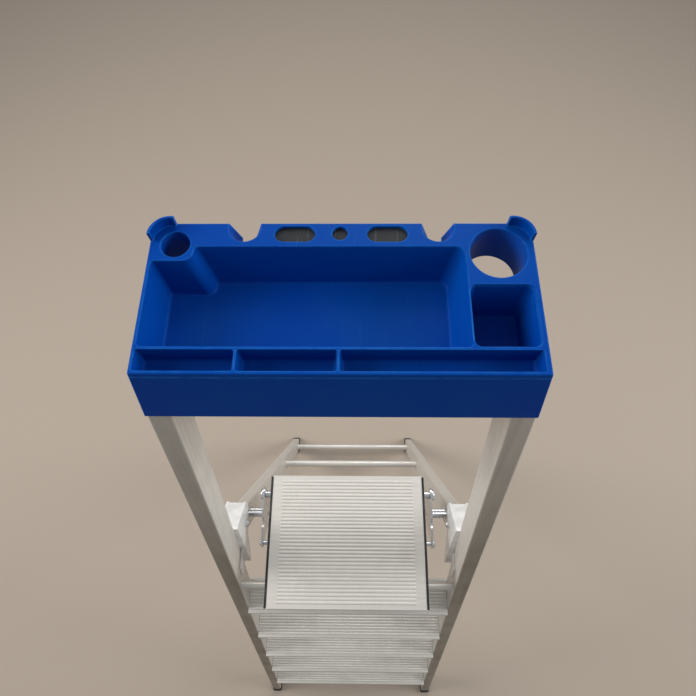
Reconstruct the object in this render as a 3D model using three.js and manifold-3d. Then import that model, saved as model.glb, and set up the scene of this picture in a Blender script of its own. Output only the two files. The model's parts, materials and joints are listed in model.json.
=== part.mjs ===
// Folding aluminium platform step ladder with a moulded tool tray on top.
// Millimetres, +Z up. X runs across the ladder, +Y towards its rear frame. The climber
// stands on the -Y side. The floor is z = 0 and the origin is the middle of the footprint.
import * as THREE from 'three';
import { mergeVertices } from 'three/addons/utils/BufferGeometryUtils.js';
import Module from 'manifold-3d';

const wasm = await Module();
wasm.setup();

const rad = THREE.MathUtils.degToRad;

// ---- driving dimensions: the whole ladder ----
const STEP_RISE = 230;              // floor to first tread, and tread to tread
const TREAD_COUNT = 5;              // treads below the platform
const TRAY_ABOVE_DECK = 637;        // platform top to tray top
const TOP_WIDTH = 451;              // across the stiles where they meet the tray
const CLIMB_LEAN = rad(16);         // climbing stiles, from vertical
const CLIMB_FLARE = rad(2.4);       // climbing stiles, outwards towards the floor
const SUPPORT_LEAN = rad(20);       // rear stiles, from vertical
const SUPPORT_FLARE = rad(1.35);
const BRACE_HEIGHTS = [570, 90];    // centres of the rear braces, above the floor

// ---- sections ----
const STILE_WIDTH = 30;
const STILE_DEPTH = 62;             // measured level
const STILE_WALL = 2;
const SUPPORT_WIDTH = 27;
const SUPPORT_DEPTH = 58;           // measured level
const TREAD_DEPTH = 78;
const TREAD_HEIGHT = 28;
const TREAD_FRONT_OVERHANG = 12;
const SHEET = 2.5;                  // wall of treads and platform pan
const RIB_PITCH = 7;
const RIB_HEIGHT = 1.2;
const TRAY_DEPTH = 188.5;           // front edge to rear edge, on the top face
const TRAY_HEIGHT = 79;             // front panel
const TRAY_TAPER = 5.5;             // each side draws in from the stiles to the top face
const TRAY_WALL = 3.2;
const TOP_SKIN = 3.5;
const FLOOR_DEPTH = 60;             // pockets, to their floors
const ROW_DEPTH = 27;               // front compartments
const TUBE_DEPTH = 55;              // round tool holes
const LEDGE_DEPTH = 30;             // skirt of the rear ledge
const NOTCH_RADIUS = 18.5;
const NOTCH_TAPER = 11;             // a notch narrows by this on its way down

// ---- platform ----
const DECK_WIDTH = 310;
const DECK_REAR_REACH = 95;         // main pivot to the platform's rear edge
const DECK_DEPTH = 256;
const PLATFORM_PIN_BEHIND = 60;     // main pivot to the platform's own pin, level
const PLATFORM_PIN_DROP = 25;       // below the platform's top
const STOP_PIN_AHEAD = 96;          // platform pin to the stop pin, level
const REST_ROD_DROP = 93;           // rest rod centre below the platform's top
const REST_ROD_ROOM = 0.7;          // rest rod to the inside of the stiles' front wall
const SIDE_PLATE = 5;
const SIDE_PLATE_HEIGHT = 34;
const HOOK_LEAD = rad(42);          // slope of the hook's rear side, from vertical
const EDGE_STRIP_HEIGHT = 4;
const PAN_HEIGHT = 28;
const PLATFORM_MARGIN = 20;         // smooth border beside the ribs

// ---- pivots and fasteners (radii) ----
const PIVOT_DROP = 18;              // main pivot below the platform's top
const PIVOT_BEHIND_STILE = 42.6;    // behind the stiles' rear face, level
const PIVOT_RADIUS = 5;
const PIN_RADIUS = 4.5;
const REST_ROD_RADIUS = 7;
const RIVET_RADIUS = 2.4;
const WASHER_RADIUS = 9;
const CHEEK = 3.8;                  // hinge casting: side walls of its fork
const CASTING_WEB = 6;              // hinge casting: back plate on the stile, and roof
const CASTING_RISE = 78;            // its top above the main pivot
const CASTING_FALL = 92;            // its foot below the main pivot
const CASTING_REACH = 41;           // its rear end behind the main pivot
const CASTING_OVERHANG = 10.5;      // its inner side, inboard of the stile
const LUG_THICKNESS = 2.6;
const SUPPORT_HEAD = 16;            // rear stile past the main pivot, along its length
const BRACE_RADIUS = 11;
const BRACKET_PLATE = 4;
const BRACKET_SHARE = 0.33;         // its place between the platform and the pivot bolt
const SPACER_RADIUS = 7;
const BRACKET_LEG = 38;
const BRACKET_THICKNESS = 2.5;
const CROSSBAR_HALF = 11;
const FOOT_HEIGHT = 26;
const FOOT_PLUG = 40;

// ---- clearances ----
const GAP = 0.3;                    // pieces that touch
const FIT = 0.35;                   // pin in its hole, plug in its tube
const RUNNING_GAP = 2.2;            // rear stile in the fork of its casting

// ---- values that follow ----
const deckTop = STEP_RISE * (TREAD_COUNT + 1);
const trayTop = deckTop + TRAY_ABOVE_DECK;
const stileTop = trayTop - TRAY_HEIGHT;
const climbSlope = Math.tan(CLIMB_LEAN);
const flareSlope = Math.tan(CLIMB_FLARE);
const supportSlope = Math.tan(SUPPORT_LEAN);
const supportFlareSlope = Math.tan(SUPPORT_FLARE);
const stileOuterX = (z) => TOP_WIDTH / 2 + (stileTop - z) * flareSlope;
const stileInnerX = (z) => stileOuterX(z) - STILE_WIDTH;
const stileFrontY = (z) => z * climbSlope;
const stileRearY = (z) => stileFrontY(z) + STILE_DEPTH;

const pivotZ = deckTop - PIVOT_DROP;
const pivotY = stileRearY(pivotZ) + PIVOT_BEHIND_STILE;
const supportY = (z) => pivotY + (pivotZ - z) * supportSlope;
const castingInner = stileInnerX(pivotZ) - CASTING_OVERHANG;
const castingOuter = castingInner + 2 * (CHEEK + RUNNING_GAP) + SUPPORT_WIDTH;
const supportOuterX = (z) => castingOuter - CHEEK - RUNNING_GAP + (pivotZ - z) * supportFlareSlope;
const supportInnerX = (z) => supportOuterX(z) - SUPPORT_WIDTH;

const platformPinY = pivotY + PLATFORM_PIN_BEHIND;
const platformPinZ = deckTop - PLATFORM_PIN_DROP;
const restRodZ = deckTop - REST_ROD_DROP;
const restRodY = stileFrontY(restRodZ) + STILE_WALL + REST_ROD_ROOM + REST_ROD_RADIUS;
const deckRear = pivotY + DECK_REAR_REACH;
const deckFront = deckRear - DECK_DEPTH;
const platePlaneX = DECK_WIDTH / 2 + GAP;
const footOverhang = 3;
const frontEdge = stileFrontY(0) - footOverhang;
const rearEdge = supportY(0) + SUPPORT_DEPTH / 2 + footOverhang;

const ALUMINIUM = { color: 0xc9c4bb, roughness: 0.38, metalness: 0.9 };
const CAST = { color: 0xd8d5d0, roughness: 0.28, metalness: 0.95 };
const STEEL = { color: 0xb9bcc0, roughness: 0.3, metalness: 0.95 };
const BLUE_PLASTIC = { color: 0x0a4a96, roughness: 0.35, metalness: 0.0 };
const BLACK_PLASTIC = { color: 0x1a1a1b, roughness: 0.6, metalness: 0.0 };
const RUBBER = { color: 0x2a2a2c, roughness: 0.85, metalness: 0.0 };

// ---- solids ----
function toManifold(geometry) {
  const bare = geometry.clone();
  bare.deleteAttribute('normal');
  bare.deleteAttribute('uv');
  const merged = mergeVertices(bare, 1e-4);
  return new wasm.Manifold(new wasm.Mesh({
    numProp: 3,
    vertProperties: new Float32Array(merged.attributes.position.array),
    triVerts: new Uint32Array(merged.index.array),
  }));
}

function toGeometry(solid) {
  const mesh = solid.getMesh();
  const geometry = new THREE.BufferGeometry();
  geometry.setAttribute('position', new THREE.BufferAttribute(new Float32Array(mesh.vertProperties), 3));
  geometry.setIndex(new THREE.BufferAttribute(new Uint32Array(mesh.triVerts), 1));
  geometry.computeVertexNormals();
  return geometry;
}

const join = (geometries) => geometries.map(toManifold).reduce((a, b) => a.add(b));

function carve(solids, cuts) {
  const body = join(solids);
  return toGeometry(cuts.length ? body.subtract(join(cuts)) : body);
}

const shapeOf = (points) => new THREE.Shape(points.map(([x, y]) => new THREE.Vector2(x, y)));

// Outline with each corner rounded: [x, y, radius].
function rounded(corners, steps = 4) {
  const points = [];
  corners.forEach(([x, y, radius = 0], i) => {
    if (radius === 0) {
      points.push([x, y]);
      return;
    }
    const here = new THREE.Vector2(x, y);
    const before = new THREE.Vector2(...corners.at(i - 1).slice(0, 2)).sub(here).normalize();
    const after = new THREE.Vector2(...corners[(i + 1) % corners.length].slice(0, 2)).sub(here).normalize();
    const half = Math.acos(THREE.MathUtils.clamp(before.dot(after), -1, 1)) / 2;
    const reach = radius / Math.tan(half);
    const centre = before.clone().add(after).normalize().multiplyScalar(radius / Math.sin(half)).add(here);
    const start = here.clone().addScaledVector(before, reach).sub(centre);
    const turn = Math.sign(before.cross(after)) * (2 * half - Math.PI);
    for (let k = 0; k <= steps; k += 1) {
      const p = start.clone().rotateAround(new THREE.Vector2(), (turn * k) / steps).add(centre);
      points.push([p.x, p.y]);
    }
  });
  return points;
}

const rectangle = (x0, y0, x1, y1, radius = 0) => [
  [x0, y0, radius], [x1, y0, radius], [x1, y1, radius], [x0, y1, radius]];

// Profile in (x, y), extruded up Z.
function alongZ(shape, z0, z1) {
  const geometry = new THREE.ExtrudeGeometry(shape, { depth: z1 - z0, bevelEnabled: false });
  return geometry.translate(0, 0, z0);
}

// Profile in (y, z), extruded along X.
function alongX(shape, x0, x1) {
  const geometry = new THREE.ExtrudeGeometry(shape, { depth: x1 - x0, bevelEnabled: false });
  const turn = new THREE.Matrix4().makeBasis(
    new THREE.Vector3(0, 1, 0), new THREE.Vector3(0, 0, 1), new THREE.Vector3(1, 0, 0));
  return geometry.applyMatrix4(turn).translate(x0, 0, 0);
}

// Upright bar that leans by slopeX and slopeY per unit of height.
function leaning(shape, z0, z1, slopeX, slopeY) {
  const shear = new THREE.Matrix4().set(1, 0, slopeX, 0, 0, 1, slopeY, 0, 0, 0, 1, 0, 0, 0, 0, 1);
  return alongZ(shape, z0, z1).applyMatrix4(shear);
}

function box(x0, y0, z0, x1, y1, z1) {
  return new THREE.BoxGeometry(x1 - x0, y1 - y0, z1 - z0)
    .translate((x0 + x1) / 2, (y0 + y1) / 2, (z0 + z1) / 2);
}

// Two outlines with equal point counts, joined as a tapered block.
function loft(lower, z0, upper, z1) {
  const n = lower.length;
  const positions = [...lower.map(([x, y]) => [x, y, z0]), ...upper.map(([x, y]) => [x, y, z1])];
  const index = [];
  const caps = (outline) => THREE.ShapeUtils.triangulateShape(
    outline.map(([x, y]) => new THREE.Vector2(x, y)), []);
  caps(lower).forEach(([a, b, c]) => index.push(c, b, a));
  caps(upper).forEach(([a, b, c]) => index.push(a + n, b + n, c + n));
  for (let i = 0; i < n; i += 1) {
    const j = (i + 1) % n;
    index.push(i, j, j + n, i, j + n, i + n);
  }
  const geometry = new THREE.BufferGeometry();
  geometry.setAttribute('position', new THREE.Float32BufferAttribute(positions.flat(), 3));
  geometry.setIndex(index);
  return geometry;
}

const circle = (cx, cy, radius, steps = 20) => Array.from({ length: steps }, (_, i) => {
  const angle = (2 * Math.PI * i) / steps;
  return [cx + radius * Math.cos(angle), cy + radius * Math.sin(angle)];
});

// Round bar along X.
const rod = (y, z, radius, x0, x1, steps = 16) => alongX(shapeOf(circle(y, z, radius, steps)), x0, x1);

// Blind rivet on a bar along +X: domed head, shank, and a set tail past `tailX`.
function rivet(y, z, headX, tailX) {
  const r = RIVET_RADIUS;
  const profile = [[0, headX - 1.8], [r * 1.2, headX - 1.3], [r * 1.9, headX + 0.2], [r, headX + 0.2],
    [r, tailX + GAP], [r * 1.4, tailX + GAP + 0.3], [0, tailX + 3]];
  return new THREE.LatheGeometry(profile.map(([radius, x]) => new THREE.Vector2(radius, x)), 8)
    .rotateZ(-Math.PI / 2).translate(0, y, z);
}

// Mirror image across the ladder's middle plane, with its faces turned out again.
function mirrored(geometry) {
  const copy = geometry.clone().scale(-1, 1, 1);
  const index = copy.index.array;
  for (let i = 0; i < index.length; i += 3) {
    [index[i], index[i + 1]] = [index[i + 1], index[i]];
  }
  copy.computeVertexNormals();
  return copy;
}

// ---- scene graph ----
const ladder = new THREE.Group();
ladder.position.y = -(frontEdge + rearEdge) / 2;

function add(name, geometry, look) {
  const mesh = new THREE.Mesh(geometry, new THREE.MeshStandardMaterial(look));
  mesh.name = name;
  ladder.add(mesh);
}

// Pieces that come in twos are made on the +X side.
function addPair(name, geometry, look) {
  add(`${name}_right`, geometry, look);
  add(`${name}_left`, mirrored(geometry), look);
}

const hexBar = (y, z, acrossFlats, x0, x1) => rod(y, z, acrossFlats / Math.sqrt(3), x0, x1, 6);

// Points of a row of low ribs, from front to rear.
function ribs(front, rear, top, margin) {
  const count = Math.floor((rear - front - 2 * margin) / RIB_PITCH);
  const start = (front + rear - count * RIB_PITCH) / 2;
  const points = [];
  for (let i = 0; i < count; i += 1) {
    const y = start + i * RIB_PITCH;
    points.push([y + 1, top - RIB_HEIGHT], [y + 2.2, top], [y + 4.8, top], [y + 6, top - RIB_HEIGHT]);
  }
  return points;
}

// Tread section: ribbed top, turned-down front and rear with small inward lips.
function channelShape(front, rear, top, height, margin) {
  const skin = top - RIB_HEIGHT;
  return shapeOf([
    [front, skin - 2], [front + 2, skin], ...ribs(front, rear, top, margin), [rear - 2, skin],
    [rear, skin - 2], [rear, top - height], [rear - 10, top - height], [rear - 10, top - height + SHEET],
    [rear - SHEET, top - height + SHEET], [rear - SHEET, skin - SHEET], [front + SHEET, skin - SHEET],
    [front + SHEET, top - height + SHEET], [front + 10, top - height + SHEET], [front + 10, top - height],
    [front, top - height]]);
}

// ---- climbing frame ----
const rivetSpread = 34;             // between the two rivets of a tread bracket
const treadRivetDrop = 16;
const treadFront = (z) => stileFrontY(z) - TREAD_FRONT_OVERHANG;
const treadTops = Array.from({ length: TREAD_COUNT }, (_, i) => STEP_RISE * (i + 1));
const bracketRivets = treadTops.flatMap((top) => {
  const middle = treadFront(top) + TREAD_DEPTH / 2;
  return [-1, 1].map((s) => ({ y: middle + (s * rivetSpread) / 2 - 4, z: top - treadRivetDrop }));
});
const lugRivets = [pivotZ - 42, pivotZ - 66].map((z) => ({ y: stileRearY(z) - 24, z }));
const crossbarZ = stileTop - 16;
const crossbarY = stileFrontY(crossbarZ) + STILE_DEPTH / 2;

const stileOuter = shapeOf(rounded(rectangle(-STILE_WIDTH / 2, 0, STILE_WIDTH / 2, STILE_DEPTH, 4), 3));
const stileBore = shapeOf(rectangle(STILE_WALL - STILE_WIDTH / 2, STILE_WALL,
  STILE_WIDTH / 2 - STILE_WALL, STILE_DEPTH - STILE_WALL));
const plugInset = STILE_WALL + FIT;
const stilePlugShape = shapeOf(rectangle(plugInset - STILE_WIDTH / 2, plugInset,
  STILE_WIDTH / 2 - plugInset, STILE_DEPTH - plugInset));
const alongStile = (shape, z0, z1) => leaning(shape, z0, z1, -flareSlope, climbSlope)
  .translate(stileOuterX(0) - STILE_WIDTH / 2, 0, 0);
const webHole = ({ y, z }, radius, steps = 10) => rod(y, z, radius, stileInnerX(z) - 3,
  stileInnerX(z) + STILE_WALL + 3, steps);

addPair('climbing_stile', carve([alongStile(stileOuter, FOOT_HEIGHT, stileTop - GAP)], [
  alongStile(stileBore, FOOT_HEIGHT - 5, stileTop + 5),
  ...bracketRivets.map((spot) => webHole(spot, RIVET_RADIUS + FIT)),
  ...lugRivets.map((spot) => webHole(spot, RIVET_RADIUS + FIT)),
  webHole({ y: restRodY, z: restRodZ }, REST_ROD_RADIUS + FIT, 20),
]), ALUMINIUM);

const frontFootShape = shapeOf(rounded(rectangle(-STILE_WIDTH / 2 - 2, -footOverhang,
  STILE_WIDTH / 2 + 2, STILE_DEPTH + 4, 6), 3));
addPair('front_foot', carve([
  alongStile(frontFootShape, 0, FOOT_HEIGHT - GAP),
  alongStile(stilePlugShape, FOOT_HEIGHT / 2, FOOT_HEIGHT + FOOT_PLUG),
], []), RUBBER);

// Treads: ribbed channels, each end held by an angle bracket riveted to the stile.
treadTops.forEach((top, i) => {
  const front = treadFront(top);
  const rear = front + TREAD_DEPTH;
  const half = stileInnerX(top) - GAP;
  const number = i + 1;
  add(`tread_${number}`, alongX(channelShape(front, rear, top, TREAD_HEIGHT, 5), -half, half), ALUMINIUM);

  const y0 = front + SHEET + 2;
  const y1 = rear - SHEET - 2;
  const legBottom = top - TREAD_HEIGHT + SHEET + GAP;
  const legTop = top - RIB_HEIGHT - SHEET - GAP;
  const legOutline = (z) => rectangle(stileInnerX(z) - GAP - BRACKET_THICKNESS, y0, stileInnerX(z) - GAP, y1);
  const shelf = box(half - BRACKET_LEG, y0, legTop - BRACKET_THICKNESS, half - 0.5, y1, legTop);
  const rivets = bracketRivets.slice(2 * i, 2 * i + 2).map(({ y, z }) => rivet(
    y, z, stileInnerX(z) - GAP - BRACKET_THICKNESS, stileInnerX(z) + STILE_WALL));
  addPair(`tread_bracket_${number}`, carve(
    [loft(legOutline(legBottom), legBottom, legOutline(legTop), legTop), shelf, ...rivets], []), ALUMINIUM);
});

// Rest rod: carries the front of the platform, from stile to stile.
const restHalf = stileInnerX(restRodZ) + STILE_WALL + 6;
add('platform_rest_rod', rod(restRodY, restRodZ, REST_ROD_RADIUS, -restHalf, restHalf, 20), ALUMINIUM);

// Top crossbar: ties the stile tops together under the tray.
const crossHalf = stileInnerX(crossbarZ + CROSSBAR_HALF) - GAP;
const crossOuter = shapeOf(rounded(rectangle(crossbarY - 20, crossbarZ - CROSSBAR_HALF,
  crossbarY + 20, crossbarZ + CROSSBAR_HALF, 3), 2));
crossOuter.holes.push(shapeOf(rectangle(crossbarY - 18, crossbarZ - CROSSBAR_HALF + 2,
  crossbarY + 18, crossbarZ + CROSSBAR_HALF - 2)));
add('top_crossbar', alongX(crossOuter, -crossHalf, crossHalf), ALUMINIUM);

// ---- hinge castings: carry the main pivot behind each climbing stile ----
const seatY = (z) => stileRearY(z) + GAP;
const castingTop = pivotZ + CASTING_RISE;
const castingFoot = pivotZ - CASTING_FALL;
const roofRear = [pivotY + CASTING_REACH, pivotZ + 20];

// Side view of a fork wall: seat on the stile, sloping roof line, round nose, and a tail down the stile.
const cheekOutline = rounded([
  [seatY(castingFoot), castingFoot, 0], [seatY(castingFoot) + CASTING_WEB, castingFoot, 2],
  [pivotY - 10, pivotZ - 26, 16], [pivotY + 16, pivotZ - 24, 16], [pivotY + CASTING_REACH, pivotZ - 4, 10],
  [...roofRear, 8], [seatY(castingTop) + CASTING_WEB, castingTop, 4], [seatY(castingTop), castingTop, 0]], 4);
const backPlate = shapeOf([
  [seatY(castingFoot), castingFoot], [seatY(castingFoot) + CASTING_WEB, castingFoot],
  [seatY(castingTop) + CASTING_WEB, castingTop], [seatY(castingTop), castingTop]]);
const roof = shapeOf([
  [seatY(castingTop), castingTop - 2 * CASTING_WEB], [roofRear[0] - 3, roofRear[1] - CASTING_WEB - 3],
  [roofRear[0] - 3, roofRear[1] + 1], [seatY(castingTop) + CASTING_WEB, castingTop - 1],
  [seatY(castingTop), castingTop - 1]]);
const lugOutline = (z) => rectangle(stileInnerX(z) - GAP - LUG_THICKNESS, stileRearY(z) - 34,
  stileInnerX(z) - GAP, stileRearY(z) + CASTING_WEB - 1);
const lug = loft(lugOutline(pivotZ - 78), pivotZ - 78, lugOutline(pivotZ - 30), pivotZ - 30);
addPair('hinge_casting', carve([
  alongX(shapeOf(cheekOutline), castingInner, castingInner + CHEEK),
  alongX(shapeOf(cheekOutline), castingOuter - CHEEK, castingOuter),
  alongX(backPlate, castingInner + 1, castingOuter - 1),
  alongX(roof, castingInner + 1, castingOuter - 1),
  lug,
  ...lugRivets.map(({ y, z }) => rivet(y, z, stileInnerX(z) - GAP - LUG_THICKNESS,
    stileInnerX(z) + STILE_WALL)),
], [rod(pivotY, pivotZ, PIVOT_RADIUS + FIT, castingInner - 5, castingOuter + 5)]), CAST);

const nutFace = castingInner - GAP;
const boltEnd = nutFace - 5.5;
addPair('pivot_bolt', carve([
  rod(pivotY, pivotZ, PIVOT_RADIUS, boltEnd, castingOuter + 2),
  hexBar(pivotY, pivotZ, 16, castingOuter + GAP, castingOuter + 5),
], []), STEEL);
const washerInner = supportOuterX(pivotZ) + WASHER_RADIUS * supportFlareSlope + GAP;
addPair('pivot_washer', carve([rod(pivotY, pivotZ, WASHER_RADIUS, washerInner, castingOuter - CHEEK - GAP)],
  [rod(pivotY, pivotZ, PIVOT_RADIUS + FIT, washerInner - 5, castingOuter + 5)]), STEEL);
addPair('pivot_nut', carve([hexBar(pivotY, pivotZ, 14, nutFace - 4.5, nutFace)],
  [rod(pivotY, pivotZ, PIVOT_RADIUS + FIT, nutFace - 10, nutFace + 4)]), STEEL);

// ---- rear support frame ----
const supportCentreX = (z) => supportOuterX(z) - SUPPORT_WIDTH / 2;

const supportHalf = SUPPORT_DEPTH / 2;
const supportOuter = shapeOf(rounded(rectangle(-SUPPORT_WIDTH / 2, -supportHalf,
  SUPPORT_WIDTH / 2, supportHalf, 4), 3));
const supportBore = shapeOf(rectangle(STILE_WALL - SUPPORT_WIDTH / 2, STILE_WALL - supportHalf,
  SUPPORT_WIDTH / 2 - STILE_WALL, supportHalf - STILE_WALL));
const alongSupport = (shape, z0, z1) => leaning(shape, z0, z1, -supportFlareSlope, -supportSlope)
  .translate(supportCentreX(0), supportY(0), 0);
const throughSupport = (y, z, radius) => rod(y, z, radius, supportInnerX(z) - 12, supportOuterX(z) + 12);
const bracketSpots = [pivotZ - 62, pivotZ - 88].map((z) => ({ y: supportY(z) + 4, z }));
const alongHead = (reach, across) => [
  pivotY - reach * Math.sin(SUPPORT_LEAN) + across * Math.cos(SUPPORT_LEAN),
  pivotZ + reach * Math.cos(SUPPORT_LEAN) + across * Math.sin(SUPPORT_LEAN)];
const headCut = alongX(shapeOf([alongHead(SUPPORT_HEAD, -90), alongHead(SUPPORT_HEAD, 90),
  alongHead(SUPPORT_HEAD + 90, 90), alongHead(SUPPORT_HEAD + 90, -90)]), castingInner - 20, castingOuter + 20);

addPair('support_stile', carve([alongSupport(supportOuter, FOOT_HEIGHT, pivotZ + 60)], [
  alongSupport(supportBore, FOOT_HEIGHT - 5, pivotZ + 65),
  headCut,
  throughSupport(pivotY, pivotZ, PIVOT_RADIUS + FIT),
  ...BRACE_HEIGHTS.map((z) => throughSupport(supportY(z), z, BRACE_RADIUS + FIT)),
  ...bracketSpots.map(({ y, z }) => rod(y, z, RIVET_RADIUS + FIT, supportInnerX(z) - 3,
    supportInnerX(z) + STILE_WALL + 3, 10)),
]), ALUMINIUM);

const rearFootShape = shapeOf(rounded(rectangle(-SUPPORT_WIDTH / 2 - 2, -supportHalf - 4,
  SUPPORT_WIDTH / 2 + 2, supportHalf + footOverhang, 6), 3));
const supportPlugShape = shapeOf(rectangle(plugInset - SUPPORT_WIDTH / 2, plugInset - supportHalf,
  SUPPORT_WIDTH / 2 - plugInset, supportHalf - plugInset));
addPair('rear_foot', carve([
  alongSupport(rearFootShape, 0, FOOT_HEIGHT - GAP),
  alongSupport(supportPlugShape, FOOT_HEIGHT / 2, FOOT_HEIGHT + FOOT_PLUG),
], []), RUBBER);

// Braces: round tubes through both rear stiles, swaged outside them.
BRACE_HEIGHTS.forEach((z, i) => {
  const half = supportOuterX(z) + 4;
  const collar = supportOuterX(z) + BRACE_RADIUS * supportFlareSlope + GAP;
  const y = supportY(z);
  add(`support_brace_${['upper', 'lower'][i]}`, carve([
    rod(y, z, BRACE_RADIUS, -half, half, 20),
    rod(y, z, BRACE_RADIUS + 3, collar, half + 1, 20),
    rod(y, z, BRACE_RADIUS + 3, -half - 1, -collar, 20),
  ], [rod(y, z, BRACE_RADIUS - 2, -half - 5, half + 5, 20)]), ALUMINIUM);
});

// Side brackets: plates that carry the platform pin and the stop pin, held off the rear stiles by spacers.
const outerFaceX = platePlaneX + SIDE_PLATE;
const plateInnerX = outerFaceX + BRACKET_SHARE * (boltEnd - BRACKET_PLATE - outerFaceX);
const plateOuterX = plateInnerX + BRACKET_PLATE;
const stopPinY = platformPinY - STOP_PIN_AHEAD;
const stopPinZ = deckTop - EDGE_STRIP_HEIGHT - SIDE_PLATE_HEIGHT - PIN_RADIUS - GAP;
const [highSpot, lowSpot] = bracketSpots;
const bracketOutline = rounded([
  [stopPinY - 9, stopPinZ + 10, 5], [stopPinY - 9, stopPinZ - 9, 5], [stopPinY + 14, stopPinZ - 9, 8],
  [lowSpot.y - 13, lowSpot.z - 13, 10], [lowSpot.y + 14, lowSpot.z - 13, 10],
  [platformPinY + 13, platformPinZ - 10, 8], [platformPinY + 13, platformPinZ + 13, 10],
  [platformPinY - 13, platformPinZ + 13, 10]], 4);
const plateHole = (y, z, radius) => rod(y, z, radius, plateInnerX - 5, plateOuterX + 5);
// A spacer's end is cut to the rear stile's slope.
const spacer = ({ y, z }) => {
  const end = (height) => supportInnerX(height) - GAP;
  const tube = toManifold(rod(y, z, SPACER_RADIUS, plateInnerX + 1, end(z) + 3));
  const block = loft(rectangle(plateInnerX, y - 20, end(z - 20), y + 20), z - 20,
    rectangle(plateInnerX, y - 20, end(z + 20), y + 20), z + 20);
  return toGeometry(tube.intersect(toManifold(block)));
};
addPair('side_bracket', carve([
  alongX(shapeOf(bracketOutline), plateInnerX, plateOuterX),
  ...bracketSpots.map(spacer),
  ...bracketSpots.map(({ y, z }) => rivet(y, z, plateInnerX, supportInnerX(z) + STILE_WALL)),
], [
  plateHole(platformPinY, platformPinZ, PIN_RADIUS + FIT),
  plateHole(stopPinY, stopPinZ, PIN_RADIUS + FIT),
  plateHole(pivotY, pivotZ, 12),
]), STEEL);

const pinInner = platePlaneX + GAP;
addPair('platform_pin', carve([
  rod(platformPinY, platformPinZ, PIN_RADIUS, pinInner, plateOuterX + GAP),
  rod(platformPinY, platformPinZ, 12, plateOuterX + GAP, plateOuterX + GAP + 2.5),
  rod(platformPinY, platformPinZ, 7.5, platePlaneX + SIDE_PLATE + 2 * GAP, plateInnerX - GAP),
], []), STEEL);
addPair('stop_pin', carve([
  rod(stopPinY, stopPinZ, PIN_RADIUS, pinInner, plateOuterX + GAP),
  rod(stopPinY, stopPinZ, 7, plateOuterX + GAP, plateOuterX + GAP + 2),
], []), STEEL);

// ---- platform ----
const deckHalf = DECK_WIDTH / 2;
const panSkin = deckTop - RIB_HEIGHT;
const flatPan = shapeOf([
  [deckFront, panSkin - 2], [deckFront + 2, panSkin], [deckRear - 2, panSkin], [deckRear, panSkin - 2],
  [deckRear, deckTop - PAN_HEIGHT], [deckRear - SHEET, deckTop - PAN_HEIGHT], [deckRear - SHEET, panSkin - SHEET],
  [deckFront + SHEET, panSkin - SHEET], [deckFront + SHEET, deckTop - PAN_HEIGHT],
  [deckFront, deckTop - PAN_HEIGHT]]);
const ribBase = shapeOf([
  [deckFront + 6, panSkin - 1], ...[[deckFront + 6, panSkin]], ...ribs(deckFront, deckRear, deckTop, 8),
  [deckRear - 6, panSkin], [deckRear - 6, panSkin - 1]].reverse());
const platformRivets = [deckFront + 60, (deckFront + deckRear) / 2 + 10, deckRear - 14].map((y) => ({
  y, z: deckTop - 14 }));
const sideFlange = (x0, x1) => box(x0, deckFront + 0.5, deckTop - PAN_HEIGHT, x1, deckRear - 0.5, panSkin - 1);
add('platform_deck', carve([
  alongX(flatPan, -deckHalf, deckHalf),
  alongX(ribBase, PLATFORM_MARGIN - deckHalf, deckHalf - PLATFORM_MARGIN),
  sideFlange(-deckHalf, SHEET - deckHalf),
  sideFlange(deckHalf - SHEET, deckHalf),
], platformRivets.flatMap(({ y, z }) => [
  rod(y, z, RIVET_RADIUS + FIT, -deckHalf - 5, 5 - deckHalf, 10),
  rod(y, z, RIVET_RADIUS + FIT, deckHalf - 5, deckHalf + 5, 10)])), ALUMINIUM);

// Side plates: hinge on the platform pins, hook over the rest rod, sit on the stop pins.
const plateTop = deckTop - EDGE_STRIP_HEIGHT;
const plateBottom = plateTop - SIDE_PLATE_HEIGHT;
const hookRadius = REST_ROD_RADIUS + FIT;
const hookMouth = [
  [restRodY - hookRadius, restRodZ], [restRodY - hookRadius, restRodZ - 34],
  [restRodY + hookRadius * Math.cos(HOOK_LEAD) + 50 * Math.sin(HOOK_LEAD),
    restRodZ + hookRadius * Math.sin(HOOK_LEAD) - 50 * Math.cos(HOOK_LEAD)],
  [restRodY + hookRadius * Math.cos(HOOK_LEAD), restRodZ + hookRadius * Math.sin(HOOK_LEAD)]];
const sidePlateOutline = rounded([
  [deckFront + 3, plateTop - GAP, 0], [deckFront + 3, plateBottom + 10, 8],
  [restRodY - 19, restRodZ - 12, 10], [restRodY + 19, restRodZ - 12, 10],
  [restRodY + 34, plateBottom, 10], [deckRear - 3, plateBottom, 10], [deckRear - 3, plateTop - GAP, 0],
].reverse(), 3);
addPair('platform_side_plate', carve([
  alongX(shapeOf(sidePlateOutline), platePlaneX, outerFaceX),
  ...platformRivets.map(({ y, z }) => rivet(-y, z, -outerFaceX, SHEET - deckHalf).rotateZ(Math.PI)),
], [
  rod(restRodY, restRodZ, hookRadius, platePlaneX - 5, outerFaceX + 5),
  alongX(shapeOf(hookMouth), platePlaneX - 5, outerFaceX + 5),
  rod(platformPinY, platformPinZ, PIN_RADIUS + FIT, platePlaneX - 5, outerFaceX + 5),
]), ALUMINIUM);

const stripOutline = rounded([[deckFront + 2, deckTop, 3], [deckFront + 2, plateTop, 0],
  [deckRear - 2, plateTop, 0], [deckRear - 2, deckTop, 3]], 3);
addPair('platform_edge_strip', carve([alongX(shapeOf(stripOutline), platePlaneX, outerFaceX - 0.7)], []),
  BLACK_PLASTIC);

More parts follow.
